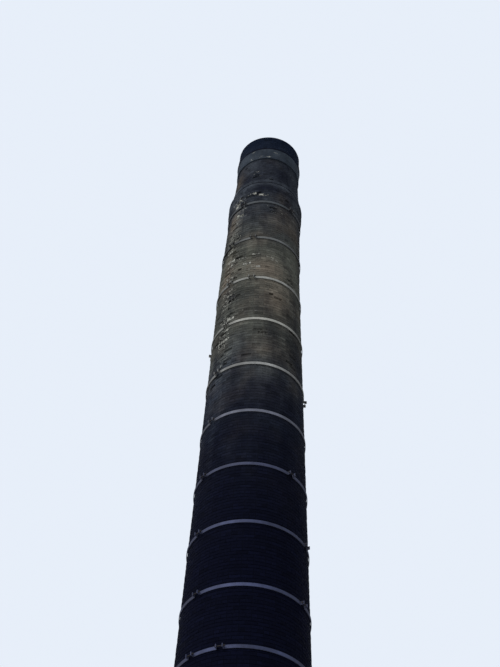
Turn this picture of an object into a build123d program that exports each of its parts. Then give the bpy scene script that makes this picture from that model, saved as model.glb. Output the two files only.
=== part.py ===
from build123d import *

import os
from itertools import pairwise
from math import atan, cos, degrees, radians, sin

# A round brick factory chimney, hooped with iron straps, from the ground to its rim.
#
# The wall is built of straight bricks, so it has flat sides like the bricks and not a true curve.
# The shaft tapers, and its wall is half a brick thinner in each lift, so the flue inside steps
# outwards at every set-off. The top of the shaft and the whole head lean a little to one side.
# Sizes are in millimetres, +Z is up and the origin is on the axis at ground level. Angles round
# the chimney are degrees from the front, which is the -Y side, and grow towards +X. Radii are
# those of the circle through the corners of the sides.

# Brickwork
SIDES = 48  # as many as there are bricks, laid lengthwise, round the foot
BRICK = 229  # length of a brick, the thickness of the topmost lift
HALF_BRICK = 114.3  # one step of wall thickness

# Shaft
FOOT_RADIUS = 1712  # outside, at ground level
SHAFT_TOP_RADIUS = 932  # outside, under the string course
SHAFT_HEIGHT = 28670  # ground to the string course
LIFT_HEIGHTS = (6400, 7300, 7300)  # of the lifts that stand on the plinth, below the last one
LEANING_HEIGHT = 2470  # the length of shaft under the string course that leans
LEAN = 1.3  # degrees towards +X

# Foot
FOOTING_HEIGHT = 150  # solid courses that also floor the flue
PLINTH_HEIGHT = 750
PLINTH_PROJECTION = 114
PLINTH_SPLAY = 110  # height of the sloping course on top of the plinth

# Head, from the string course up
FLUE_RADIUS = 603  # inside the neck and the crown
STRING_RADIUS = 966
STRING_SPLAY = 230  # height of the sloping underside
STRING_FACE = 370  # height of the upright face
STRING_SHOULDER = 240  # height of the sloping shoulder
NECK_FOOT_RADIUS = 880
NECK_TOP_RADIUS = 816
NECK_HEIGHT = 1150
FILLET_PROJECTION = 14  # the thin course at the foot of the neck
FILLET_HEIGHT = 110
PALE_RING_RADIUS = 846
PALE_RING_HEIGHT = 425
CROWN_RADIUS = 862
CROWN_TOP_RADIUS = 830
CROWN_SPLAY = 20
CROWN_HEIGHT = 395
COPING_HEIGHT = 250
COPING_CHAMFER = 40
COPING_FALL = 25  # how far the top of the coping slopes down to its outer edge

# Hoops
HOOP_WIDTH = 76
HOOP_THICKNESS = 16
HOOP_CLEARANCE = 0.3
JOINT_GAP = 110  # between the two lugs of a joint
LUG_HEIGHT = 70  # how far a lug stands out of its strap
LOWEST_HOOP = 2600  # no hoop lies below this height

# Each hoop that is seen, from the top down: how far it lies below the one above it, or below the
# string course, and the angles of its joints.
SEEN_HOOPS = (
    (90, (-35, 44, 165)),
    (1525, (-48, -13, 150)),
    (1580, (-42, -11, 160)),
    (1510, (-104, -43, 150)),
    (1520, (-49, 97, 210)),
    (1490, (-50, 125, 200)),
    (1550, (-54, 42, 170)),
    (1535, (-52, 66, 185)),
    (1540, (-46, 57, 175)),
    (1380, (-46, -19, 150)),
)

# The hoops below those are evenly spaced.
LOWER_HOOP_SPACING = 1524
LOWER_HOOP_JOINTS = (-48, 72, 192)

SIDE_COSINE = cos(radians(180 / SIDES))  # of the radius to a side over the radius to a corner
BEND_HEIGHT = SHAFT_HEIGHT - LEANING_HEIGHT


def shaft_radius(height):
    """Outside radius of the shaft at a height above the ground."""
    return FOOT_RADIUS - (FOOT_RADIUS - SHAFT_TOP_RADIUS) * height / SHAFT_HEIGHT


def wall_of_lift(number):
    """Wall thickness of a lift, counted from 0 at the ground. The last lift is one brick thick."""
    return BRICK + HALF_BRICK * (len(LIFT_HEIGHTS) - number)


def drum(outline):
    """A solid with flat sides through the (radius, height) points of its outline, upwards."""
    made = Part()
    for (low_radius, low), (high_radius, high) in pairwise(outline):
        narrowing = abs(high_radius - low_radius) * SIDE_COSINE
        length = extrude(
            RegularPolygon(max(low_radius, high_radius), SIDES),
            high - low,
            taper=degrees(atan(narrowing / (high - low))),
        )
        if high_radius > low_radius:
            made += Pos(0, 0, high) * Rot(180, 0, 0) * length
        else:
            made += Pos(0, 0, low) * length
    return made


def lean(shape):
    """The shape tipped with the top of the chimney, about the bend."""
    return shape.rotate(Axis((0, 0, BEND_HEIGHT), (0, 1, 0)), LEAN)


def footing_course():
    radius = FOOT_RADIUS + PLINTH_PROJECTION
    return drum([(radius, 0), (radius, FOOTING_HEIGHT)])


def shaft_ring(low, high, wall):
    """A tapering length of shaft with a wall of even thickness."""
    outside = drum([(shaft_radius(height), height) for height in (low, high)])
    return outside - drum([(shaft_radius(height) - wall, height) for height in (low, high)])


def plinth():
    """The thicker foot of the shaft, with a sloping course on top."""
    radius = FOOT_RADIUS + PLINTH_PROJECTION
    wall = wall_of_lift(0)
    top = FOOTING_HEIGHT + PLINTH_HEIGHT
    outside = drum(
        [(radius, FOOTING_HEIGHT), (radius, top - PLINTH_SPLAY), (shaft_radius(top), top)]
    )
    return outside - drum(
        [(shaft_radius(height) - wall, height) for height in (FOOTING_HEIGHT, top)]
    )


def upright_lifts():
    """The upright lifts of the shaft by name, from the plinth to the bend."""
    low = FOOTING_HEIGHT + PLINTH_HEIGHT
    lifts = {}
    for number, height in enumerate(LIFT_HEIGHTS):
        lifts[f"shaft_lift_{number + 1}"] = shaft_ring(low, low + height, wall_of_lift(number))
        low += height
    lifts[f"shaft_lift_{len(LIFT_HEIGHTS) + 1}"] = shaft_ring(low, BEND_HEIGHT, BRICK)
    return lifts


def leaning_lift():
    """The top of the shaft, tipped, and cut level where it stands on the upright part."""
    dip = 2 * shaft_radius(BEND_HEIGHT) * sin(radians(abs(LEAN)))
    whole = lean(shaft_ring(BEND_HEIGHT - dip, SHAFT_HEIGHT, BRICK))
    return split(whole, bisect_by=Plane.XY.offset(BEND_HEIGHT), keep=Keep.TOP)


def string_course():
    """The band under the neck, with a sloping underside and shoulder."""
    face_foot = SHAFT_HEIGHT + STRING_SPLAY
    face_top = face_foot + STRING_FACE
    top = face_top + STRING_SHOULDER
    outside = drum(
        [
            (SHAFT_TOP_RADIUS, SHAFT_HEIGHT),
            (STRING_RADIUS, face_foot),
            (STRING_RADIUS, face_top),
            (NECK_FOOT_RADIUS, top),
        ]
    )
    return outside - drum([(SHAFT_TOP_RADIUS - BRICK, SHAFT_HEIGHT), (FLUE_RADIUS, top)])


def neck(low):
    """The plain drum above the shoulder, with a thin course standing out at its foot."""
    top = low + NECK_HEIGHT
    course_radius = NECK_FOOT_RADIUS + FILLET_PROJECTION
    course = drum([(course_radius, low), (course_radius, low + FILLET_HEIGHT)])
    outside = course + drum([(NECK_FOOT_RADIUS, low), (NECK_TOP_RADIUS, top)])
    return outside - drum([(FLUE_RADIUS, low), (FLUE_RADIUS, top)])


def pale_ring(low):
    """The ring of pale render under the crown."""
    top = low + PALE_RING_HEIGHT
    outside = drum([(PALE_RING_RADIUS, low), (PALE_RING_RADIUS, top)])
    return outside - drum([(FLUE_RADIUS, low), (FLUE_RADIUS, top)])


def crown(low):
    """The blackened brickwork round the mouth of the flue."""
    top = low + CROWN_HEIGHT
    outside = drum(
        [(PALE_RING_RADIUS, low), (CROWN_RADIUS, low + CROWN_SPLAY), (CROWN_TOP_RADIUS, top)]
    )
    return outside - drum([(FLUE_RADIUS, low), (FLUE_RADIUS, top)])


def coping(low):
    """The last course, which sheds water outwards over its chamfered edge."""
    top = low + COPING_HEIGHT
    edge = top - COPING_FALL
    outside = drum(
        [
            (CROWN_TOP_RADIUS, low),
            (CROWN_TOP_RADIUS, edge - COPING_CHAMFER),
            (CROWN_TOP_RADIUS - COPING_CHAMFER, edge),
            (FLUE_RADIUS, top),
        ]
    )
    return outside - drum([(FLUE_RADIUS, low), (FLUE_RADIUS, top)])


def head():
    """The pieces of the head by name, tipped with the top of the shaft."""
    neck_foot = SHAFT_HEIGHT + STRING_SPLAY + STRING_FACE + STRING_SHOULDER
    pale_foot = neck_foot + NECK_HEIGHT
    crown_foot = pale_foot + PALE_RING_HEIGHT
    pieces = {
        "string_course": string_course(),
        "neck": neck(neck_foot),
        "pale_ring": pale_ring(pale_foot),
        "crown": crown(crown_foot),
        "coping": coping(crown_foot + CROWN_HEIGHT),
    }
    return {name: lean(piece) for name, piece in pieces.items()}


def hoop(height, joint_angles):
    """Iron straps round the shaft, with their ends turned out as lugs at each joint."""
    low = height - HOOP_WIDTH / 2
    corner = shaft_radius(low) + HOOP_CLEARANCE
    inside = shaft_radius(low) * SIDE_COSINE + HOOP_CLEARANCE
    band = RegularPolygon(inside + HOOP_THICKNESS, SIDES, major_radius=False)
    band -= RegularPolygon(inside, SIDES, major_radius=False)
    straps = Pos(0, 0, low) * extrude(band, HOOP_WIDTH)
    lug_depth = HOOP_THICKNESS + LUG_HEIGHT
    lug_middle = Pos(0, -corner - lug_depth / 2, height)
    lug_offset = (JOINT_GAP + HOOP_THICKNESS) / 2
    gap = lug_middle * Box(JOINT_GAP, 2 * lug_depth, 2 * HOOP_WIDTH)
    lug = lug_middle * Box(HOOP_THICKNESS, lug_depth, HOOP_WIDTH)
    for angle in joint_angles:
        straps -= gap.rotate(Axis.Z, angle)
        for side in (-lug_offset, lug_offset):
            straps += (Pos(side, 0, 0) * lug).rotate(Axis.Z, angle)
    return lean(straps) if height > BEND_HEIGHT else straps


def hoops():
    """Every hoop by name, numbered from the top."""
    height = SHAFT_HEIGHT
    places = []
    for drop, joints in SEEN_HOOPS:
        height -= drop
        places.append((height, joints))
    while height - LOWER_HOOP_SPACING >= LOWEST_HOOP:
        height -= LOWER_HOOP_SPACING
        places.append((height, LOWER_HOOP_JOINTS))
    return {f"hoop_{number:02d}": hoop(*place) for number, place in enumerate(places, start=1)}


def chimney():
    """Every piece of the chimney by its name."""
    pieces = {"footing_course": footing_course(), "plinth": plinth()}
    pieces.update(upright_lifts())
    pieces["leaning_lift"] = leaning_lift()
    pieces.update(head())
    pieces.update(hoops())
    return pieces


os.makedirs("parts", exist_ok=True)
for name, piece in chimney().items():
    export_step(piece, f"parts/{name}.step")
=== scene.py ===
from collections import namedtuple
from itertools import pairwise
from math import asin, atan2, cos, hypot, pi, radians, sin, tau

import bpy
import numpy as np
from mathutils import Matrix, Vector


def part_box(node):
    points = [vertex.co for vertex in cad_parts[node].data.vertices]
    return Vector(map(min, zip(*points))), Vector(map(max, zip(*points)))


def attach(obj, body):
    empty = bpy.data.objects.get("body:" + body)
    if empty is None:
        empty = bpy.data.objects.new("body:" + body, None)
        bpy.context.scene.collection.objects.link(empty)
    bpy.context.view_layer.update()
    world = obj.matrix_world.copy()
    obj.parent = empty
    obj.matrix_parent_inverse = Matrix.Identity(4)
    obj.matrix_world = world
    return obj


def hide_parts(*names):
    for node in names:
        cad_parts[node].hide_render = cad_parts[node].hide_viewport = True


# A round brick factory chimney, hooped with iron straps, seen steeply from below.
#
# Every course of brick is real geometry, laid round the outlines of the CAD nodes. Sizes are in
# metres. Angles round the chimney start at the front, which is -Y, and grow towards +X. Outlines
# are (radius, height) points that run up the outside of a ring and down its inside.
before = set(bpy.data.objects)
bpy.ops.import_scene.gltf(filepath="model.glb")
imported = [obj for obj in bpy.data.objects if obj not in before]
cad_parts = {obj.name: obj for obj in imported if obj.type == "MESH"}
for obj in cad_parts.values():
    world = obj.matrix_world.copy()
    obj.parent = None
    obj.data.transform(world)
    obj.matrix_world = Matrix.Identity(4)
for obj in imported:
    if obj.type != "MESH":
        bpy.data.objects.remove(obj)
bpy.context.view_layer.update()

# Brickwork
BRICK_PITCH = 0.235  # length of a brick with its joint
COURSE = 0.083  # height of a course with its joint
JOINT = 0.010
JOINT_DEPTH = 0.006  # how far the mortar lies behind the corners of the bricks
ARRIS = 0.0035  # how far the edges of a brick are worn back
HEADER, STRETCHER = 2, 4  # lengths of bricks in columns, which are a quarter of a brick wide
COURSES_TO_HEADERS = 4  # every so many courses of garden wall bond one is of headers
JOLT = 0.0025  # unevenness of the bricks
LEAST_BAND = 0.3  # least height of a band of bricks between hoops
BRICK_TONE, BRICK_TONE_SPREAD = 0.5, 0.2
MORTAR_TONES = (0.3, 0.7)

# Weathering
STRIP_ANGLE = radians(-47)  # of the strip where the face has come off the bricks
STRIP_HALF_WIDTH = radians(11)
STRIP_HEIGHTS = (21.7, 23.2, 28.6, 29.6)  # where the strip begins, is full, weakens and ends
STRIP_WEAR, STRIP_UNEVENNESS = 0.75, 0.35
BLOTCH_LEVEL = 0.75  # of the random field, above which the wall is worn in blotches
BLOTCH_WEAR = 0.5
BROKEN_SHARE = 0.5  # of the bricks, where the wall is most worn
BROKEN_DEPTHS = (0.005, 0.035)  # how far a broken brick is broken back
BROKEN_JOLT = 0.004  # how much more uneven its face is
BROKEN_SHADE = 0.5  # how much of its tone it loses, as painted shade in its recess
EROSION = 0.010  # how far the mortar is washed out, where the wall is most worn
LIME_SHARES = (0.2, 1.0)  # how much of the wear shows as lime on a brick or a joint
# Each ledge has a height, a half height and a strength.
LIMED_LEDGES = ((28.88, 0.05, 0.2),)
# The second rubbed ledge, which darkens, is a painted shadow under the shoulder.
RUBBED_AND_SHADOWED_LEDGES = ((29.47, 0.15, 0.26), (29.15, 0.08, -0.13))
STREAK_HALF_WIDTH = 0.06  # of what has washed down from the joints of the hoops
STREAK_LENGTH = 0.9
STREAK_STRENGTH = 0.12
LOWEST_STREAKS = 20.0  # the hoops below this height have no streaks under them
# Each patch has an angle in degrees, a height, a half width, a half height and a strength.
WORN_PATCHES = (
    (-46, 30.50, 0.11, 0.07, 0.65),
    (-36, 30.71, 0.10, 0.06, 0.7),
    (-16, 30.73, 0.08, 0.06, 0.7),
    (-2, 30.71, 0.08, 0.06, 0.7),
    (12, 30.92, 0.09, 0.05, 0.6),
    (-32, 31.03, 0.08, 0.05, 0.6),
    (-19, 30.02, 0.12, 0.07, 0.8),
    (-13, 29.85, 0.12, 0.07, 0.7),
    (3, 29.72, 0.16, 0.06, 0.6),
    (-19, 28.92, 0.12, 0.06, 0.5),
    (-5, 28.86, 0.08, 0.05, 0.6),
    (4, 28.88, 0.10, 0.05, 0.7),
    (-33, 28.50, 0.20, 0.15, 0.4),
    (14, 28.15, 0.14, 0.10, 0.5),
    (-30, 26.60, 0.14, 0.08, 0.7),
    (-5, 26.36, 0.13, 0.08, 0.8),
    (14, 26.38, 0.16, 0.08, 0.8),
    (21, 26.24, 0.12, 0.06, 0.8),
    (-20, 26.06, 0.12, 0.07, 0.7),
    (-10, 25.86, 0.16, 0.06, 0.8),
    (-4, 25.94, 0.10, 0.06, 0.8),
    (8, 25.94, 0.10, 0.06, 0.8),
    (28, 27.04, 0.12, 0.06, 0.5),
    (12, 25.25, 0.12, 0.10, 0.7),
    (-15, 25.05, 0.08, 0.06, 0.6),
    (30, 24.90, 0.25, 0.20, 0.3),
    (-3, 24.30, 0.08, 0.08, 0.6),
    (-42, 24.60, 0.30, 0.50, 0.4),
)
# Negative strengths darken. The dark patches at 60 and 80 degrees are painted shade on the side
# turned from the light.
WASHED_AND_SHADED_PATCHES = (
    (-52, 27.95, 0.18, 0.65, 0.95),
    (-50, 26.40, 0.20, 0.70, 0.60),
    (8, 25.95, 0.60, 0.35, 0.50),
    (-18, 25.00, 0.30, 0.35, -0.30),
    (-8, 24.30, 0.25, 0.25, -0.25),
    (20, 24.80, 0.45, 0.45, 0.08),
    (-48, 24.50, 0.20, 0.60, 0.30),
    (-45, 22.80, 0.18, 0.40, 0.40),
    (60, 23.20, 0.40, 0.80, -0.36),
    (80, 25.50, 0.30, 2.50, -0.20),
    (-55, 21.60, 0.30, 0.60, 0.18),
    (3, 21.60, 0.70, 0.50, -0.045),
    (-30, 25.90, 0.22, 0.30, -0.25),
    (-40, 24.95, 0.18, 0.18, -0.45),
    (-18, 23.10, 0.35, 0.50, 0.18),
    (20, 29.90, 0.25, 0.30, -0.15),
    (-38, 29.87, 0.22, 0.25, -0.16),
    (36, 29.97, 0.20, 0.25, -0.08),
    (-48, 29.12, 0.25, 0.25, 0.50),
    (46, 28.11, 0.25, 0.35, 0.18),
    (-48, 26.75, 0.20, 0.22, 0.25),
    (-49, 26.15, 0.20, 0.22, -0.40),
    (50, 26.31, 0.22, 0.30, 0.40),
)
BROWN_PATCHES = (
    (-62, 30.10, 0.25, 0.35, 0.8),
    (-55, 28.10, 0.25, 0.60, 0.7),
    (60, 27.90, 0.30, 0.30, 0.5),
    (8, 25.90, 0.50, 0.40, 1.0),
    (-52, 25.90, 0.22, 0.90, 0.8),
    (23, 24.75, 0.45, 0.60, 1.0),
    (16, 23.00, 0.40, 0.40, 0.5),
    (3, 21.60, 0.70, 0.50, 0.25),
)

# Ring of render
RENDER_COLUMNS, RENDER_ROWS = 240, 14
RENDER_COARSENESS = 0.004
RENDER_LOSS, RENDER_SWELL, RENDER_GRAIN = 1.2, 0.5, 0.25  # how deep it lies, in parts of that
GRAIN_TURNS = 4  # how much finer the grain is round the ring than the swell

# Hoops
LUG_ZONE = 0.02  # how near the tips of the lugs the corners lie that show where a joint is
JOINT_SPREAD = 0.3  # how far apart two corners of one joint may be, in radians
STRAP_THICKNESS = 0.016
STRAP_CLEARANCE = 0.0003
STRAP_EDGE = 0.003  # how far the edges of a strap are eased
STRAP_STEP = radians(3)
LUG_BEND = 0.018  # radius at which a strap turns out into its lug
LUG_BEND_STEPS = 6
DARK_END = 0.022  # length of strap at each joint that has lost some of its paint
DARKEST_SHARE = 0.4  # of that length, beyond which the paint begins to return
BARE_SHARE = 0.25  # how far the paint is gone there
SHADE_AND_SOOT_SHARE = 0.6  # how far painted shade, with some soot, darkens the paint underneath, at the sides and at the back
SHADED_OUT, LIT_OUT = 0.4, 0.95  # where that ends and the lit front begins, in radii
BOLT_RADIUS = 0.011
BOLT_END = 0.022  # how far the bolt stands out of its nut
BOLT_EASE = 0.003
NUT_RADIUS = 0.021
NUT_HEIGHT = 0.018
BOLT_SIDES, NUT_SIDES = 12, 6
BRIGHTEST_HEIGHT = 23.9  # where the paint of the hoops is brightest; below it they are painted darker, as shade
BRIGHT_SPREAD = 2.4  # how far above and below that it dulls

# View
EYE = Vector((0, -21.3, 1.6))
PITCH, ROLL, YAW = radians(47.185), radians(2.826), radians(-0.485)
LENS, SENSOR = 70.61, 36  # in millimetres
FARTHEST = 1000

# Stage and light
FLOOR_REACH = 300.0
FLOOR_DROP = 0.001  # how far the floor lies under the footing
FLOOR_SHADES = ((0.78, 0.78, 0.77), (0.82, 0.82, 0.81))
FLOOR_CLOUDS = 0.2  # how many soft clouds of shade there are in a metre
FLOOR_ROUGHNESS = 0.9
SKY_LIGHT = (0.44, 0.45, 0.46, 1)
SKY_SEEN = (0.80, 0.86, 0.95, 1)
SUN_STRENGTH = 2.3
SUN_WIDTH = radians(35)
SUN_COLOUR = (1.0, 0.97, 0.92)
SUN_SIDE = Vector((-0.75, -0.85, 0.75))  # the direction in which the sun stands

SLACK = 0.001  # how far apart two places may lie and still count as one

# half_gap is from the middle of a joint to a lug, and tip is how far out the lugs reach.
Hoop = namedtuple("Hoop", "height half_width tip half_gap joints")


def corners(node):
    """The corners of a CAD node, one in each row."""
    return np.array([vertex.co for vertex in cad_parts[node].data.vertices])


# The shaft leans above the bend, by the angle at which the coping stands out of line.
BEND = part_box("leaning_lift")[0].z
COPING_MIDDLE = corners("coping").mean(axis=0)
LEAN = atan2(COPING_MIDDLE[0], COPING_MIDDLE[2] - BEND)
BEND_LENGTH = 0.3  # over which the brickwork takes up the lean


def smooth_step(value, start, end):
    """0 up to start, 1 from end on, and smooth between them."""
    share = np.clip((value - start) / (end - start), 0, 1)
    return share * share * (3 - 2 * share)


def straightened(points):
    """Points of the leaning top, stood upright."""
    x, y, rise = points[:, 0], points[:, 1], points[:, 2] - BEND
    upright_x = x * cos(LEAN) - rise * sin(LEAN)
    return np.column_stack((upright_x, y, BEND + x * sin(LEAN) + rise * cos(LEAN)))


def leaned(points):
    """Points of an upright chimney, with the top tipped smoothly."""
    x, y, rise = points[:, 0], points[:, 1], points[:, 2] - BEND
    share = smooth_step(rise, 0, BEND_LENGTH)
    move_x = x * cos(LEAN) + rise * sin(LEAN) - x
    move_z = rise * cos(LEAN) - x * sin(LEAN) - rise
    return points + np.column_stack((share * move_x, 0 * y, share * move_z))


def upright_corners(node):
    """The corners of a CAD node, as they'd be if the chimney didn't lean."""
    points = corners(node)
    return straightened(points) if points[:, 2].mean() > BEND else points


def outline(node):
    """The outline of a ring, or of a solid drum."""
    points = upright_corners(node)
    radii = np.hypot(points[:, 0], points[:, 1])
    pairs = {(round(radius, 3), round(height, 3)) for radius, height in zip(radii, points[:, 2])}
    middle = (radii.min() + radii.max()) / 2 - SLACK
    outside = [pair for pair in pairs if pair[0] >= middle]
    inside = [pair for pair in pairs if pair[0] < middle]
    outside.sort(key=lambda pair: (pair[1], -pair[0]))
    inside.sort(key=lambda pair: -pair[1])
    return outside + inside


def shaft_line():
    """The radius of the shaft at the ground and how much it loses each metre."""
    lower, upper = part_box("shaft_lift_1"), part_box("shaft_lift_4")
    fall = (lower[1].x - upper[1].x) / (upper[0].z - lower[0].z)
    return lower[1].x + fall * lower[0].z, fall


FOOT_RADIUS, TAPER = shaft_line()


def shaft_radius(height):
    """The outside radius of the shaft at a height."""
    return FOOT_RADIUS - TAPER * height


def wall_thickness(node):
    """The thickness of a ring of the shaft at its top."""
    points = outline(node)
    top = max(height for _, height in points)
    radii = [radius for radius, height in points if height == top]
    return max(radii) - min(radii)


def turned(angle):
    """An angle brought between half a turn back and half a turn on."""
    return (angle + pi) % tau - pi


def round_angles(count):
    """Angles spread evenly over a full turn."""
    return tau * np.arange(count) / count


def seen_from_joint(joint, x, y):
    """How far places lie across a joint, and how far out from the axis towards it."""
    return x * cos(joint) + y * sin(joint), x * sin(joint) - y * cos(joint)


def hoop_of(node):
    """What the CAD hoop is like, with the angles of its joints in order."""
    x, y, z = upright_corners(node).T
    radii = np.hypot(x, y)
    groups = []
    for angle in np.arctan2(x, -y)[radii > radii.max() - LUG_ZONE]:
        near = [group for group in groups if abs(turned(angle - group[0])) < JOINT_SPREAD]
        if near:
            near[0].append(near[0][0] + turned(angle - near[0][0]))
        else:
            groups.append([angle])
    joints = sorted((min(group) + max(group)) / 2 for group in groups)
    across, out = seen_from_joint(joints[0], x, y)
    tip = out.max()
    half_gap = np.abs(across[out > tip - SLACK]).min()
    return Hoop((z.min() + z.max()) / 2, (z.max() - z.min()) / 2, tip, half_gap, joints)


HOOPS = {node: hoop_of(node) for node in sorted(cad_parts) if node.startswith("hoop")}


# How the weather has worn the wall, and where shade is painted on it

def waves(angle, height, seed, wavelength):
    """A smooth random field round the chimney, mostly between -1 and 1."""
    random = np.random.default_rng(seed)
    count, most_turns = 14, 8
    total = 0 * angle
    for _ in range(count):
        turns = random.integers(-most_turns, most_turns + 1)
        length = wavelength * random.uniform(0.5, 2.0) * random.choice((-1, 1))
        total = total + np.cos(turns * angle + tau * height / length + random.uniform(0, tau))
    usual_size = (0.7 * count) ** 0.5
    return total / usual_size


def patches(table, angle, height):
    """The sum of soft patches on the wall."""
    total = 0 * angle
    for degrees, middle, half_width, half_height, strength in table:
        across = turned(angle - radians(degrees)) * shaft_radius(middle) / half_width
        rise = (height - middle) / half_height
        total = total + strength * np.exp(-(across**2) - rise**2)
    return total


def ledges(table, height):
    """The sum of the soft bands round the chimney at its ledges."""
    return sum(
        strength * np.exp(-(((height - middle) / half_height) ** 2))
        for middle, half_height, strength in table
    )


def wear(angle, height):
    """How worn the brickwork is, from 0 to 1."""
    start, full, weaker, end = STRIP_HEIGHTS
    inside = smooth_step(height, start, full) * (1 - smooth_step(height, weaker, end))
    strip = np.exp(-((turned(angle - STRIP_ANGLE) / STRIP_HALF_WIDTH) ** 2))
    unevenness = STRIP_UNEVENNESS * waves(angle, height, seed=3, wavelength=0.8)
    strip = strip * (STRIP_WEAR + unevenness)
    blotches = np.clip(waves(angle, height, seed=5, wavelength=1.6) - BLOTCH_LEVEL, 0, 1)
    worn = inside * (strip + BLOTCH_WEAR * blotches) + patches(WORN_PATCHES, angle, height)
    return np.clip(worn + ledges(LIMED_LEDGES, height), 0, 1)


def streaks(angle, height):
    """How much has washed down the wall from the joints of the hoops, from 0 to 1."""
    total = 0 * angle
    for hoop in HOOPS.values():
        if height < hoop.height and hoop.height > LOWEST_STREAKS:
            fade = np.exp((height - hoop.height) / STREAK_LENGTH)
            for joint in hoop.joints:
                across = turned(angle - joint) * hoop.tip / STREAK_HALF_WIDTH
                total = total + fade * np.exp(-(across**2))
    return np.clip(total, 0, 1)


def stains_and_shade(angle, height):
    """How washed and how brown the wall is, with its painted shade, by the names that its materials
    read.
    """
    washed_down = STREAK_STRENGTH * streaks(angle, height)
    washed_and_lit = patches(WASHED_AND_SHADED_PATCHES, angle, height) + washed_down
    return {
        "washed_and_lit": washed_and_lit + ledges(RUBBED_AND_SHADOWED_LEDGES, height),
        "brown": patches(BROWN_PATCHES, angle, height),
    }


# Laying the brickwork

BRICK_SLOT, MORTAR_SLOT, PLAIN_SLOT = 0, 1, 2  # of the materials of brickwork
RENDER_SLOT, INSIDE_SLOT = 0, 1  # of the materials of the ring of render


class Surface:
    """The points and faces of a mesh, with what its materials read from each face."""

    def __init__(self):
        self.points = []
        self.count = 0
        self.faces = []
        self.slots = []
        self.looks = {"tone": [], "lime": [], "washed_and_lit": [], "brown": []}

    def add_points(self, angle, radius, height):
        """Adds points round the chimney and returns their numbers in an array of the same shape."""
        angle, radius, height = np.broadcast_arrays(angle, radius, height)
        places = np.stack((radius * np.sin(angle), -radius * np.cos(angle), height), axis=-1)
        self.points.append(places.reshape(-1, 3))
        numbers = self.count + np.arange(angle.size).reshape(angle.shape)
        self.count += angle.size
        return numbers

    def add_faces(self, numbers, slot, **looks):
        """Adds a face for each row of point numbers."""
        self.faces.extend(numbers.tolist())
        self.slots.append(np.full(len(numbers), slot))
        for name, values in self.looks.items():
            values.append(np.broadcast_to(looks.get(name, 0.0), len(numbers)))

    def add_quads(self, lower, upper, slot, **looks):
        """Adds the quads between two rings of points."""
        quads = np.column_stack((lower, np.roll(lower, -1), np.roll(upper, -1), upper))
        self.add_faces(quads, slot, **looks)

    def piece(self, node, materials):
        """Makes the object that takes the place of a CAD node."""
        mesh = bpy.data.meshes.new(f"{node}_laid")
        mesh.from_pydata(leaned(np.vstack(self.points)).tolist(), [], self.faces)
        mesh.polygons.foreach_set("material_index", np.concatenate(self.slots).astype(np.int32))
        for name, values in self.looks.items():
            layer = mesh.attributes.new(name, "FLOAT", "FACE")
            layer.data.foreach_set("value", np.concatenate(values).astype(np.float32))
        add_piece(mesh, node, materials)


def add_piece(mesh, node, materials):
    """Puts a mesh in the place of a CAD node, under the root body."""
    for material in materials:
        mesh.materials.append(material)
    mesh.update()
    made = bpy.data.objects.new(mesh.name, mesh)
    bpy.context.scene.collection.objects.link(made)
    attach(made, "root")
    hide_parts(node)


def facing(low, high):
    """The direction, in radius and height, that an edge of an outline faces."""
    run, rise = high[0] - low[0], high[1] - low[1]
    return np.array((rise, -run)) / hypot(run, rise)


def lay_course(surface, below, above, low, high, span, first, random):
    """Lays a course of bricks between two rings of mortar points, along an edge of an outline."""
    columns = len(below)
    radius, height = (low + high) / 2
    length = hypot(*(high - low))
    starts = np.arange(first, first + columns, span)
    left, width = tau * starts / columns, tau * span / columns
    bricks = len(starts)
    middle = left + width / 2
    worn = wear(middle, height)
    looks = stains_and_shade(middle, height)
    broken = random.random(bricks) < BROKEN_SHARE * worn
    recess = random.uniform(0, JOLT, bricks) + broken * random.uniform(*BROKEN_DEPTHS, bricks)
    unevenness = (JOLT + BROKEN_JOLT * broken)[:, None]

    def brick_corners(inset, depth):
        """Four points a brick, anticlockwise from its lower left corner."""
        across = inset / radius
        angle = np.column_stack((left, left + width, left + width, left))
        angle = angle + across * np.array((1, -1, -1, 1))
        share = inset / length * np.array((1, 1, -1, -1)) + np.array((0, 0, 1, 1))
        out = facing(low, high)
        return surface.add_points(
            angle,
            low[0] + (high[0] - low[0]) * share - out[0] * depth,
            low[1] + (high[1] - low[1]) * share - out[1] * depth,
        )

    eroded = (worn * random.uniform(0, EROSION, bricks))[:, None]
    foot = brick_corners(np.full((bricks, 4), JOINT / 2), JOINT_DEPTH + eroded)
    # The corners of a face move by up to half of its unevenness away from its middle, or by all
    # of it towards the middle, and lie back by up to all of it.
    face = brick_corners(
        JOINT / 2 + ARRIS + unevenness * random.uniform(-0.5, 1, (bricks, 4)),
        recess[:, None] + unevenness * random.uniform(0, 1, (bricks, 4)),
    )

    steps = (starts[:, None] + np.arange(span + 1)) % columns
    looks["tone"] = random.uniform(*MORTAR_TONES, bricks)
    looks["lime"] = worn * random.uniform(*LIME_SHARES, bricks)
    for strip in (
        np.column_stack((below[steps], foot[:, 1], foot[:, 0])),
        np.column_stack((foot[:, 3], foot[:, 2], above[steps[:, ::-1]])),
        np.column_stack((below[steps[:, 0]], foot[:, 0], foot[:, 3], above[steps[:, 0]])),
        np.column_stack((foot[:, 1], below[steps[:, -1]], above[steps[:, -1]], foot[:, 2])),
    ):
        surface.add_faces(strip, MORTAR_SLOT, **looks)

    tone = np.clip(random.normal(BRICK_TONE, BRICK_TONE_SPREAD, bricks), 0, 1)
    # Broken bricks are painted darker, as shade in their recesses.
    looks["tone"] = tone * (1 - BROKEN_SHADE * broken)
    looks["lime"] = worn * random.uniform(*LIME_SHARES, bricks)
    for side in range(4):
        after = (side + 1) % 4
        rim = np.column_stack((foot[:, side], foot[:, after], face[:, after], face[:, side]))
        surface.add_faces(rim, BRICK_SLOT, **looks)
    surface.add_faces(face, BRICK_SLOT, **looks)


def column_angles(radius):
    """The angles of the columns of brickwork, as many as a ring of a radius needs."""
    return round_angles(STRETCHER * round(tau * radius / BRICK_PITCH))


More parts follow.
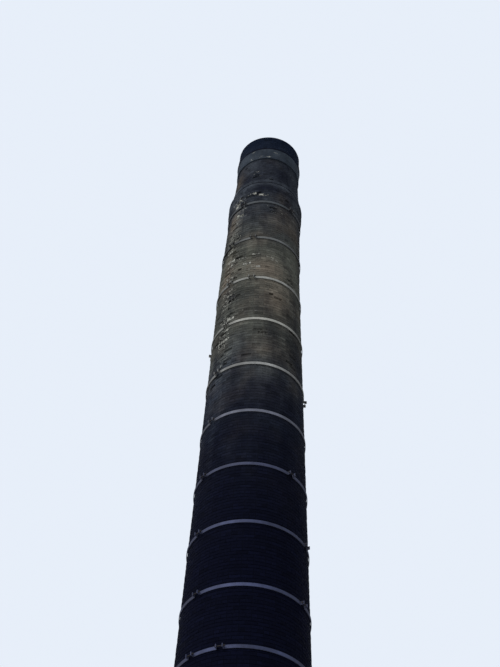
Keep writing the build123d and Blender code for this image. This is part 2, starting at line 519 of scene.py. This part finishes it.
def lay_edge(surface, first_ring, last_ring, low, high, bond, random):
    """Lays the courses along an edge of an outline."""
    low, high = np.array(low), np.array(high)
    rows = 1 if bond == "on edge" else max(1, round(hypot(*(high - low)) / COURSE))
    places = np.linspace(low, high, rows + 1)
    angles = round_angles(len(first_ring))
    rings = [first_ring]
    for radius, height in places[1:-1] - facing(low, high) * JOINT_DEPTH:
        rings.append(surface.add_points(angles, radius, height))
    rings.append(last_ring)
    for row in range(rows):
        course = round(low[1] / COURSE) + row
        stretchers = bond == "garden wall" and course % COURSES_TO_HEADERS
        span = STRETCHER if stretchers else HEADER
        first = span // 2 * (course % 2)
        lay_course(
            surface, rings[row], rings[row + 1], places[row], places[row + 1], span, first, random
        )


def lay_ring(surface, points, bonds, seed):
    """Lays brickwork round a closed outline. Each edge has a bond, or None where it's plain."""
    random = np.random.default_rng(seed)
    angles = column_angles(points[0][0])
    edges = list(zip(points, points[1:] + points[:1]))
    pushes = [facing(*edge) if bond else np.zeros(2) for edge, bond in zip(edges, bonds)]
    rings = []
    for number, (radius, height) in enumerate(points):
        before, after = pushes[number - 1], pushes[number]
        push = JOINT_DEPTH * (before + after) / (1 + before @ after)
        rings.append(surface.add_points(angles, radius - push[0], height - push[1]))
    for number, ((low, high), bond) in enumerate(zip(edges, bonds)):
        first_ring, last_ring = rings[number], rings[(number + 1) % len(rings)]
        if bond:
            lay_edge(surface, first_ring, last_ring, low, high, bond, random)
        else:
            surface.add_quads(first_ring, last_ring, PLAIN_SLOT)


def lay_shaft(node, low, high, wall, seed):
    """Lays a lift in bands, each with as many bricks round it as its radius needs.

    The hoops hide where the bands meet."""
    surface = Surface()
    heights = sorted(hoop.height for hoop in HOOPS.values())
    between = [height for height in heights if low + LEAST_BAND < height < high - LEAST_BAND]
    for foot, top in pairwise([low, *between, high]):
        points = [
            (shaft_radius(foot), foot),
            (shaft_radius(top), top),
            (shaft_radius(top) - wall, top),
            (shaft_radius(foot) - wall, foot),
        ]
        lay_ring(surface, points, ("garden wall", None, None, None), seed)
        seed += 1
    surface.piece(node, WALL_MATERIALS)


def lay_footing():
    """Lays the solid footing, which is closed across its top and bottom."""
    surface = Surface()
    low, high = outline("footing_course")
    angles = column_angles(low[0])
    bottom = surface.add_points(angles, low[0] - JOINT_DEPTH, low[1])
    top = surface.add_points(angles, high[0] - JOINT_DEPTH, high[1])
    lay_edge(surface, bottom, top, low, high, "headers", np.random.default_rng(seed=10))
    surface.add_faces(bottom[None, ::-1], PLAIN_SLOT)
    surface.add_faces(top[None, :], PLAIN_SLOT)
    surface.piece("footing_course", WALL_MATERIALS)


def lay_outline(node, bonds, materials, seed):
    """Lays a node whose outline is laid as it is."""
    surface = Surface()
    lay_ring(surface, outline(node), bonds, seed)
    surface.piece(node, materials)


def lay_render():
    """Lays the ring of render, which isn't quite even."""
    (radius, low), (_, high), (inside, _), _ = outline("pale_ring")
    angles = round_angles(RENDER_COLUMNS)
    heights = np.linspace(low, high, RENDER_ROWS + 1)
    surface = Surface()
    rings = []
    for height in heights:
        swell = RENDER_SWELL * waves(angles, height, seed=7, wavelength=0.35)
        grain = RENDER_GRAIN * waves(angles * GRAIN_TURNS, height, seed=8, wavelength=0.12)
        depth = RENDER_COARSENESS * (RENDER_LOSS + swell + grain)
        rings.append(surface.add_points(angles, radius - depth, height))
    for height, (lower, upper) in zip(heights, pairwise(rings)):
        surface.add_quads(lower, upper, RENDER_SLOT, lime=wear(angles, height))
    rings.append(surface.add_points(angles, inside, high))
    rings.append(surface.add_points(angles, inside, low))
    for lower, upper in pairwise(rings[RENDER_ROWS:]):
        surface.add_quads(lower, upper, INSIDE_SLOT)
    surface.add_quads(rings[-1], rings[0], RENDER_SLOT)
    surface.piece("pale_ring", (RENDER, PLAIN))


def lay_chimney():
    """Lays the chimney from its footing to its coping."""
    lay_footing()
    plinth_bonds = ("garden wall", "headers", None, None, None)
    lay_outline("plinth", plinth_bonds, WALL_MATERIALS, seed=20)
    for number in range(1, 5):
        node = f"shaft_lift_{number}"
        low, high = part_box(node)
        lay_shaft(node, low.z, high.z, wall_thickness(node), seed=100 * number)
    string_foot = outline("string_course")[0][1]
    lay_shaft("leaning_lift", BEND, string_foot, wall_thickness("shaft_lift_4"), seed=500)
    string_bonds = ("headers", "headers", "headers", None, "headers", None)
    lay_outline("string_course", string_bonds, WALL_MATERIALS, seed=610)
    neck_bonds = ("headers", None, "headers", None, "headers", None)
    lay_outline("neck", neck_bonds, WALL_MATERIALS, seed=620)
    lay_render()
    crown_bonds = (None, "headers", None, "headers", None)
    lay_outline("crown", crown_bonds, CROWN_MATERIALS, seed=630)
    coping_bonds = ("headers", None, "on edge", "headers", None)
    lay_outline("coping", coping_bonds, CROWN_MATERIALS, seed=640)


# Making the hoops

STRAP_SLOT, BOLT_SLOT = 0, 1  # of the materials of a hoop


def placed(angle, across, out):
    """The x and y of a point that lies across and out of the axis, turned round the chimney."""
    return np.array(
        (across * cos(angle) + out * sin(angle), across * sin(angle) - out * cos(angle))
    )


def strap_line(radius, hoop, start, end):
    """Points along the middle of a strap, each with the direction that its face looks in."""
    lug = hoop.half_gap + STRAP_THICKNESS / 2
    reach = radius + LUG_BEND
    swing = asin((lug + LUG_BEND) / reach)
    bend = [(lug, hoop.tip, 0.0)]
    for turn in np.linspace(0, pi / 2 - swing, LUG_BEND_STEPS + 1):
        across = lug + LUG_BEND * (1 - cos(turn))
        bend.append((across, reach * cos(swing) - LUG_BEND * sin(turn), turn))
    line = []
    for across, out, turn in bend:
        line.append((placed(start, across, out), placed(start, cos(turn), sin(turn))))
    first, last = start + swing, end - swing
    for angle in np.linspace(first, last, round((last - first) / STRAP_STEP))[1:-1]:
        line.append((placed(angle, 0, radius), placed(angle, 0, 1)))
    for across, out, turn in reversed(bend):
        line.append((placed(end, -across, out), placed(end, -cos(turn), sin(turn))))
    return line


def strap_rings(line, hoop):
    """The corners of a strap with eased edges, all along its line."""
    half, width = STRAP_THICKNESS / 2, hoop.half_width
    section = (
        (-half, STRAP_EDGE - width),
        (STRAP_EDGE - half, -width),
        (half - STRAP_EDGE, -width),
        (half, STRAP_EDGE - width),
        (half, width - STRAP_EDGE),
        (half - STRAP_EDGE, width),
        (STRAP_EDGE - half, width),
        (-half, width - STRAP_EDGE),
    )
    return [
        [(*(middle + face * offset), hoop.height + rise) for offset, rise in section]
        for middle, face in line
    ]


def bar_rings(profile, sides, joint, out, height):
    """The corners of a bar that lies across a joint, through (place across, radius) points."""
    rings = []
    for across, radius in profile:
        ring = []
        for turn in round_angles(sides):
            x, y = placed(joint, across, out + radius * cos(turn))
            ring.append((x, y, height + radius * sin(turn)))
        rings.append(ring)
    return rings


def bolt_bodies(hoop, joint, out):
    """The rings of a bolt through the two lugs of a joint, with its head and its nut."""
    outside = hoop.half_gap + STRAP_THICKNESS
    end = outside + NUT_HEIGHT + BOLT_END
    shank = (
        (-outside, BOLT_RADIUS),
        (end - BOLT_EASE, BOLT_RADIUS),
        (end, BOLT_RADIUS - BOLT_EASE),
    )
    bodies = [bar_rings(shank, BOLT_SIDES, joint, out, hoop.height)]
    for foot in (outside, -outside - NUT_HEIGHT):
        top = foot + NUT_HEIGHT
        nut = (
            (foot, NUT_RADIUS - BOLT_EASE),
            (foot + BOLT_EASE, NUT_RADIUS),
            (top - BOLT_EASE, NUT_RADIUS),
            (top, NUT_RADIUS - BOLT_EASE),
        )
        bodies.append(bar_rings(nut, NUT_SIDES, joint, out, hoop.height))
    return bodies


def skin_faces(start, rings):
    """The faces of a closed body through rings of corners, which are numbered from start."""
    size = len(rings[0])
    last = start + size * (len(rings) - 1)
    faces = [tuple(range(start, start + size)), tuple(reversed(range(last, last + size)))]
    for base in range(start, last, size):
        for number in range(size):
            after = base + (number + 1) % size
            faces.append((base + number, base + size + number, size + after, after))
    return faces


def hoop_bodies(hoop):
    """The rings of each strap and bolt of a hoop, with the slot of its material."""
    radius = shaft_radius(hoop.height - hoop.half_width) + STRAP_CLEARANCE + STRAP_THICKNESS / 2
    bodies = []
    for start, end in zip(hoop.joints, hoop.joints[1:] + [hoop.joints[0] + tau]):
        bodies.append((strap_rings(strap_line(radius, hoop, start, end), hoop), STRAP_SLOT))
    bolt_out = (hoop.tip + radius + LUG_BEND) / 2
    for joint in hoop.joints:
        bodies.extend((body, BOLT_SLOT) for body in bolt_bodies(hoop, joint, bolt_out))
    return bodies


def paint_loss_and_shade(hoop, points):
    """How far the paint is gone, or darkened by soot and painted shade, at each point of a hoop,
    from 0 to 1.
    """
    x, y, z = points.T
    lost_and_shaded = SHADE_AND_SOOT_SHARE * (1 - smooth_step(-y / hoop.tip, SHADED_OUT, LIT_OUT))
    for joint in hoop.joints:
        across, out = seen_from_joint(joint, x, y)
        from_gap = np.abs(across) - hoop.half_gap
        near = 1 - smooth_step(from_gap, DARK_END * DARKEST_SHARE, DARK_END)
        lost_and_shaded = np.maximum(lost_and_shaded, BARE_SHARE * near * (out > 0))
    # The underside is painted in shade, with some soot.
    underneath = z < hoop.height - hoop.half_width + STRAP_EDGE / 2
    return np.maximum(lost_and_shaded, SHADE_AND_SOOT_SHARE * underneath)


def paint_and_shade_colour(height):
    """The colour of the paint on a hoop at a height, with painted shade on the lower hoops."""
    brightness = np.exp(-(((height - BRIGHTEST_HEIGHT) / BRIGHT_SPREAD) ** 2))
    dull_and_shaded = UPPER_DULL_PAINT if height > BRIGHTEST_HEIGHT else LOWER_SHADED_PAINT
    return (dull_and_shaded + (BRIGHT_PAINT - dull_and_shaded) * brightness).tolist()


def forge_hoop(node, hoop):
    """Makes the straps of a hoop with their bolts."""
    points, faces, face_slots = [], [], []
    for body, slot in hoop_bodies(hoop):
        body_faces = skin_faces(len(points), body)
        faces.extend(body_faces)
        face_slots.extend([slot] * len(body_faces))
        points.extend(corner for ring in body for corner in ring)
    points = np.array(points)
    mesh = bpy.data.meshes.new(f"iron_{node}")
    mesh.from_pydata(leaned(points).tolist(), [], faces)
    mesh.polygons.foreach_set("material_index", np.array(face_slots, np.int32))
    # The paint is gone at the joints; the sides, back and underside hold painted shade.
    layer = mesh.attributes.new("bare_and_shaded", "FLOAT", "POINT")
    layer.data.foreach_set("value", paint_loss_and_shade(hoop, points).astype(np.float32))
    paint = hoop_paint(f"{node}_paint", paint_and_shade_colour(hoop.height))
    add_piece(mesh, node, (paint, BOLT_IRON))


# Materials

# Soot colours, bluish black: soot with the blue of sky-lit shade painted in. Where the wall is
# little washed, they also stand for the painted shade that darkens the lower shaft.
SOOT_AND_SHADE = (0.0018, 0.0025, 0.0092)
MORTAR_SOOT_AND_SHADE = (0.0013, 0.0018, 0.0056)
CROWN_SOOT_AND_SHADE = (0.0042, 0.0080, 0.0190)
FILMED_SHADED_BRICK = (0.067, 0.085, 0.121)  # where the soot is no more than a thin film; its blue is painted sky-lit shade
WASHED_BRICK = (0.083, 0.089, 0.080)
BROWN_BRICK = (0.125, 0.110, 0.093)
WASHED_MORTAR = (0.090, 0.090, 0.080)
LIME = (0.33, 0.34, 0.32)
# Dark iron where the paint is gone, and the colour of the painted shade on the hoops.
BARE_IRON_AND_SHADE = (0.020, 0.020, 0.024)
# Below the brightest height the hoops are painted darker and bluer, as sky-lit shade.
UPPER_DULL_PAINT = np.array((0.034, 0.041, 0.050))
LOWER_SHADED_PAINT = np.array((0.037, 0.047, 0.105))
BRIGHT_PAINT = np.array((0.340, 0.350, 0.335))
RENDER_SHADES = ((0.012, 0.018, 0.029), (0.029, 0.039, 0.054))
BOLT_SHADES = ((0.008, 0.008, 0.010), (0.022, 0.019, 0.020))
LIME_SCALE, PIT_SCALE = 21.0, 29.0  # how many specks and pits there are in a metre; the pits are dark specks of painted shade
SPECK_EDGE = (0.68, 0.78)  # levels of noise at which a speck begins and is whole
SPECK_CLOSENESS = 0.3  # how much closer specks lie where there is more lime
FULL_LIME, SPECK_STRENGTH = 0.7, 0.9  # where specks are strongest, and how strong they are
FLAKE_EDGE, FLAKE_STRENGTH = (0.58, 0.68), 0.6  # the same for flaked spots in the paint
NOISE_RANGE = (0.3, 0.7)  # where a noise mostly lies
FILM_RANGE = (0.1, 0.7)  # levels of washing and painted light at which bricks turn from filmed and shaded to clean
DRIFT = 0.5  # how far up and down the levels of washing and painted light wander
HIGHEST = 32.0
# Low levels on the lower shaft stand for painted shade as well as soot.
WASHED_AND_LIT_HEIGHTS = (  # height, and how far the soot is washed off and the wall painted lit there
    (0.0, 0.10),
    (6.0, 0.03),
    (12.0, 0.0),
    (17.0, 0.0),
    (19.0, 0.018),
    (20.3, 0.068),
    (21.7, 0.18),
    (23.3, 0.68),
    (24.8, 0.68),
    (25.9, 1.0),
    (26.5, 0.76),
    (27.8, 0.55),
    (29.0, 0.36),
    (29.5, 0.28),
    (30.3, 0.31),
    (31.1, 0.23),
    (31.2, 0.0),
)


def colour_sockets(sockets):
    """Those of a node's sockets that hold colours."""
    return [socket for socket in sockets if socket.type == "RGBA"]


class Nodes:
    """A new material and short ways of adding nodes to it."""

    def __init__(self, name):
        self.material = bpy.data.materials.new(name)
        self.material.use_nodes = True
        self.tree = self.material.node_tree
        self.shader = self.tree.nodes["Principled BSDF"].inputs
        self.place = self.add("ShaderNodeTexCoord").outputs["Object"]

    def add(self, kind, **settings):
        node = self.tree.nodes.new(kind)
        for key, value in settings.items():
            setattr(node, key, value)
        return node

    def set(self, socket, source):
        """Gives a socket a value, or the output of another node."""
        if isinstance(source, bpy.types.NodeSocket):
            self.tree.links.new(source, socket)
        else:
            socket.default_value = source

    def math(self, operation, first, second):
        node = self.add("ShaderNodeMath", operation=operation)
        self.set(node.inputs[0], first)
        self.set(node.inputs[1], second)
        return node.outputs[0]

    def stretched(self, scale):
        """The place on the object, stretched by a factor along each axis."""
        node = self.add("ShaderNodeMapping")
        self.set(node.inputs["Scale"], scale)
        self.set(node.inputs["Vector"], self.place)
        return node.outputs["Vector"]

    def noise(self, scale, detail=4.0, roughness=0.55, place=None):
        node = self.add("ShaderNodeTexNoise")
        self.set(node.inputs["Scale"], scale)
        self.set(node.inputs["Detail"], detail)
        self.set(node.inputs["Roughness"], roughness)
        self.set(node.inputs["Vector"], place or self.place)
        return node.outputs["Fac"]

    def spread(self, value, low, high, to_low=0.0, to_high=1.0):
        """A value from one range brought into another."""
        node = self.add("ShaderNodeMapRange")
        sockets = ("Value", "From Min", "From Max", "To Min", "To Max")
        for socket, source in zip(sockets, (value, low, high, to_low, to_high)):
            self.set(node.inputs[socket], source)
        return node.outputs["Result"]

    def varied(self, noise, low=0.0, high=1.0):
        """A noise brought from where it mostly lies to between two levels."""
        return self.spread(noise, *NOISE_RANGE, low, high)

    def curve(self, value, stops):
        """A value led through (place, level) stops."""
        node = self.add("ShaderNodeValToRGB")
        elements = node.color_ramp.elements
        elements[0].position, elements[1].position = stops[0][0], stops[-1][0]
        for place, _ in stops[1:-1]:
            elements.new(place)
        for element, (_, level) in zip(elements, stops):
            element.color = (level, level, level, 1)
        self.set(node.inputs["Fac"], value)
        return node.outputs["Color"]

    def mix(self, share, first, second):
        """Two colours, mixed by a share of the second."""
        node = self.add("ShaderNodeMix", data_type="RGBA")
        self.set(node.inputs["Factor"], share)
        for socket, source in zip(colour_sockets(node.inputs), (first, second)):
            self.set(socket, (*source, 1) if isinstance(source, tuple) else source)
        return colour_sockets(node.outputs)[0]

    def times(self, colour, factor):
        node = self.add("ShaderNodeVectorMath", operation="SCALE")
        self.set(node.inputs[0], colour)
        self.set(node.inputs["Scale"], factor)
        return node.outputs[0]

    def attribute(self, name):
        return self.add("ShaderNodeAttribute", attribute_name=name).outputs["Fac"]

    def coat(self, colour, roughness, gloss):
        """Gives the shader its colour, its roughness and the strength of its gloss."""
        sockets = ("Base Color", "Roughness", "Specular IOR Level")
        for socket, source in zip(sockets, (colour, roughness, gloss)):
            self.set(self.shader[socket], source)

    def bumps(self, *layers):
        """Makes the shader's surface uneven by (height, distance) layers."""
        normal = None
        for height, distance in layers:
            node = self.add("ShaderNodeBump")
            self.set(node.inputs["Height"], height)
            self.set(node.inputs["Distance"], distance)
            if normal:
                self.set(node.inputs["Normal"], normal)
            normal = node.outputs["Normal"]
        self.set(self.shader["Normal"], normal)


def washed_and_lit_share(nodes):
    """How far the soot is washed off at a height, with painted light and shade, and how far it is
    on each spot there.
    """
    height = nodes.add("ShaderNodeSeparateXYZ")
    nodes.set(height.inputs[0], nodes.place)
    drift = nodes.varied(nodes.noise(0.55, detail=3.0), -DRIFT, DRIFT)
    stops = [(place / HIGHEST, level) for place, level in WASHED_AND_LIT_HEIGHTS]
    share = nodes.math("DIVIDE", nodes.math("ADD", height.outputs["Z"], drift), HIGHEST)
    streaky = nodes.noise(1.0, detail=5.0, place=nodes.stretched((2.6, 2.6, 0.45)))
    streaky = nodes.varied(streaky, low=0.55, high=1.3)
    blotchy = nodes.noise(2.4, detail=5.0, roughness=0.62)
    blotchy = nodes.varied(blotchy, low=0.55, high=1.4)
    uneven = nodes.math("MULTIPLY", streaky, blotchy)
    level = nodes.curve(share, stops)
    washed_and_lit = nodes.math("ADD", level, nodes.attribute("washed_and_lit"))
    return level, nodes.math("MULTIPLY", washed_and_lit, uneven)


def specks(nodes, scale):
    """Specks that lie closer, and are stronger, where the faces have more lime."""
    lime = nodes.attribute("lime")
    closeness = nodes.math("MULTIPLY", lime, SPECK_CLOSENESS)
    spots = nodes.math("ADD", nodes.noise(scale, roughness=0.6), closeness)
    strength = nodes.spread(lime, 0.0, FULL_LIME, to_high=SPECK_STRENGTH)
    return nodes.math("MULTIPLY", nodes.spread(spots, *SPECK_EDGE), strength)


def masonry(name, clean, lightness, tone_spread, soot_and_shade=SOOT_AND_SHADE, washed_and_lit=1.0):
    """Sooty brick or mortar with painted shade, which reads its looks from the faces that it's on.

    lightness and tone_spread set how light the faces are and how much they differ, and the last
    argument is the share of the washing, and of the painted light, that the material takes."""
    nodes = Nodes(name)
    drifting = nodes.spread(nodes.noise(0.9), 0.5, 0.7, to_high=0.6)
    brown = nodes.math("ADD", drifting, nodes.attribute("brown"))
    level, share = washed_and_lit_share(nodes)
    brick = nodes.mix(nodes.spread(level, *FILM_RANGE), FILMED_SHADED_BRICK, clean)
    share = nodes.math("MULTIPLY", share, washed_and_lit)
    colour = nodes.mix(share, soot_and_shade, nodes.mix(brown, brick, BROWN_BRICK))
    low_tone, high_tone = lightness * (1 - tone_spread), lightness * (1 + tone_spread)
    tone = nodes.spread(nodes.attribute("tone"), 0, 1, low_tone, high_tone)
    mottle = nodes.noise(28.0, detail=6.0, roughness=0.7)
    mottle = nodes.varied(mottle, low=0.72, high=1.28)
    colour = nodes.times(colour, nodes.math("MULTIPLY", tone, mottle))
    # Pits are painted as dark specks the colour of soot and shade, with no hollows under them.
    pit_shaded = nodes.mix(specks(nodes, PIT_SCALE), colour, soot_and_shade)
    limed = nodes.mix(specks(nodes, LIME_SCALE), pit_shaded, LIME)
    nodes.coat(limed, nodes.varied(nodes.noise(45.0), low=0.84, high=1.0), gloss=0.03)
    nodes.bumps((nodes.noise(60.0, detail=5.0), 0.003), (nodes.noise(240.0), 0.0012))
    return nodes.material


def plain_brickwork():
    """Soot-caked brickwork inside the flue, with its courses as bumps."""
    nodes = Nodes("flue_brick")
    caked = nodes.varied(nodes.noise(3.0, detail=6.0), low=0.6, high=1.6)
    nodes.coat(nodes.times(SOOT_AND_SHADE, caked), roughness=0.95, gloss=0.1)
    courses = nodes.add("ShaderNodeTexWave", bands_direction="Z")
    nodes.set(courses.inputs["Vector"], nodes.place)
    # At a scale of 1 each wave is pi / 10 metres high.
    nodes.set(courses.inputs["Scale"], pi / 10 / COURSE)
    nodes.set(courses.inputs["Distortion"], 0.6)
    nodes.bumps((courses.outputs["Fac"], 0.004), (nodes.noise(35.0, detail=6.0), 0.006))
    return nodes.material


def weathered_render():
    """Render, grey with soot and pale where it has flaked."""
    nodes = Nodes("weathered_render")
    cloudy = nodes.varied(nodes.noise(3.2, detail=5.0))
    streaky = nodes.noise(1.0, detail=5.0, place=nodes.stretched((7.0, 7.0, 1.2)))
    shade = nodes.mix(cloudy, *RENDER_SHADES)
    colour = nodes.times(shade, nodes.varied(streaky, low=0.7, high=1.3))
    limed = nodes.mix(specks(nodes, LIME_SCALE), colour, LIME)
    nodes.coat(limed, nodes.varied(nodes.noise(20.0), low=0.75, high=0.95), gloss=0.1)
    nodes.bumps((nodes.noise(12.0, detail=6.0), 0.006), (nodes.noise(160.0), 0.001))
    return nodes.material


def hoop_paint(name, colour):
    """Old metallic paint on a strap, worn to dark iron at the joints and in spots, and darkened by
    painted shade at its sides, back and underside.
    """
    nodes = Nodes(name)
    mottle = nodes.noise(9.0, detail=6.0, roughness=0.6)
    mottle = nodes.varied(mottle, low=0.78, high=1.22)
    stretches = nodes.spread(nodes.noise(1.1), 0.35, 0.65, to_low=0.6, to_high=1.3)
    paint = nodes.times(colour, nodes.math("MULTIPLY", mottle, stretches))
    flaked = nodes.noise(26.0, detail=7.0, roughness=0.7)
    flaked = nodes.spread(flaked, *FLAKE_EDGE, to_high=FLAKE_STRENGTH)
    bare_and_shaded = nodes.math("MAXIMUM", nodes.attribute("bare_and_shaded"), flaked)
    roughness = nodes.spread(bare_and_shaded, 0, 1, to_low=0.7, to_high=0.9)
    nodes.coat(nodes.mix(bare_and_shaded, paint, BARE_IRON_AND_SHADE), roughness, gloss=0.2)
    nodes.bumps((nodes.noise(90.0, detail=5.0), 0.0012))
    return nodes.material


def rusty_bolts():
    """Dark iron, rougher where it has rusted."""
    nodes = Nodes("bolt_iron")
    patchy = nodes.varied(nodes.noise(40.0, detail=6.0))
    roughness = nodes.spread(patchy, 0, 1, to_low=0.6, to_high=0.9)
    nodes.coat(nodes.mix(patchy, *BOLT_SHADES), roughness, gloss=0.2)
    nodes.bumps((nodes.noise(150.0), 0.0008))
    return nodes.material


PLAIN = plain_brickwork()
RENDER = weathered_render()
BOLT_IRON = rusty_bolts()
WALL_MATERIALS = (
    masonry("sooty_shaded_brick", WASHED_BRICK, lightness=0.96, tone_spread=0.36),
    masonry("sooty_shaded_mortar", WASHED_MORTAR, lightness=1.0, tone_spread=0.2, soot_and_shade=MORTAR_SOOT_AND_SHADE),
    PLAIN,
)
CROWN_LOOKS = {"soot_and_shade": CROWN_SOOT_AND_SHADE, "washed_and_lit": 0.15}
CROWN_MATERIALS = (
    masonry("black_brick", WASHED_BRICK, lightness=0.9, tone_spread=0.35, **CROWN_LOOKS),
    masonry("black_mortar", WASHED_MORTAR, lightness=1.2, tone_spread=0.2, **CROWN_LOOKS),
    PLAIN,
)


# Setting the stage, the light and the camera

def set_stage():
    """A wide pale floor."""
    nodes = Nodes("pale_floor")
    nodes.set(nodes.shader["Base Color"], nodes.mix(nodes.noise(FLOOR_CLOUDS), *FLOOR_SHADES))
    nodes.set(nodes.shader["Roughness"], FLOOR_ROUGHNESS)
    mesh = bpy.data.meshes.new("floor")
    around = ((-1, -1), (1, -1), (1, 1), (-1, 1))
    points = [(x * FLOOR_REACH, y * FLOOR_REACH, -FLOOR_DROP) for x, y in around]
    mesh.from_pydata(points, [], [(0, 1, 2, 3)])
    mesh.materials.append(nodes.material)
    floor = bpy.data.objects.new("floor", mesh)
    bpy.context.scene.collection.objects.link(floor)


def set_world():
    """A pale sky where it's seen, and a softer one that lights the chimney."""
    world = bpy.data.worlds.new("pale_sky")
    bpy.context.scene.world = world
    world.use_nodes = True
    tree = world.node_tree
    rays = tree.nodes.new("ShaderNodeLightPath").outputs
    seen = rays["Is Camera Ray"]
    for kind in ("Is Glossy Ray", "Is Transmission Ray"):
        either = tree.nodes.new("ShaderNodeMath")
        either.operation = "MAXIMUM"
        tree.links.new(seen, either.inputs[0])
        tree.links.new(rays[kind], either.inputs[1])
        seen = either.outputs[0]
    sky = tree.nodes.new("ShaderNodeMix")
    sky.data_type = "RGBA"
    tree.links.new(seen, sky.inputs["Factor"])
    lighting, shown = colour_sockets(sky.inputs)
    lighting.default_value = SKY_LIGHT
    shown.default_value = SKY_SEEN
    tree.links.new(colour_sockets(sky.outputs)[0], tree.nodes["Background"].inputs["Color"])


def set_sun():
    """A wide, soft sun in front of the chimney, on its left."""
    light = bpy.data.lights.new("sun", "SUN")
    light.energy = SUN_STRENGTH
    light.angle = SUN_WIDTH
    light.color = SUN_COLOUR
    sun = bpy.data.objects.new("sun", light)
    sun.rotation_euler = SUN_SIDE.to_track_quat("Z", "Y").to_euler()
    bpy.context.scene.collection.objects.link(sun)


def set_camera():
    """The photograph's own view, from eye height in front of the chimney."""
    forward = Vector((sin(YAW) * cos(PITCH), cos(YAW) * cos(PITCH), sin(PITCH)))
    level = Vector((cos(YAW), -sin(YAW), 0))
    upright = level.cross(forward)
    right = cos(ROLL) * level + sin(ROLL) * upright
    up = cos(ROLL) * upright - sin(ROLL) * level
    view = bpy.data.cameras.new("eye")
    view.lens = LENS
    view.sensor_width = SENSOR
    view.clip_end = FARTHEST
    eye = bpy.data.objects.new("eye", view)
    turn = Matrix((right, up, -forward)).transposed().to_4x4()
    eye.matrix_world = Matrix.Translation(EYE) @ turn
    bpy.context.scene.collection.objects.link(eye)
    bpy.context.scene.camera = eye


lay_chimney()
for hoop_node, its_hoop in HOOPS.items():
    forge_hoop(hoop_node, its_hoop)
set_stage()
set_world()
set_sun()
set_camera()
bpy.context.scene.view_settings.view_transform = "Standard"
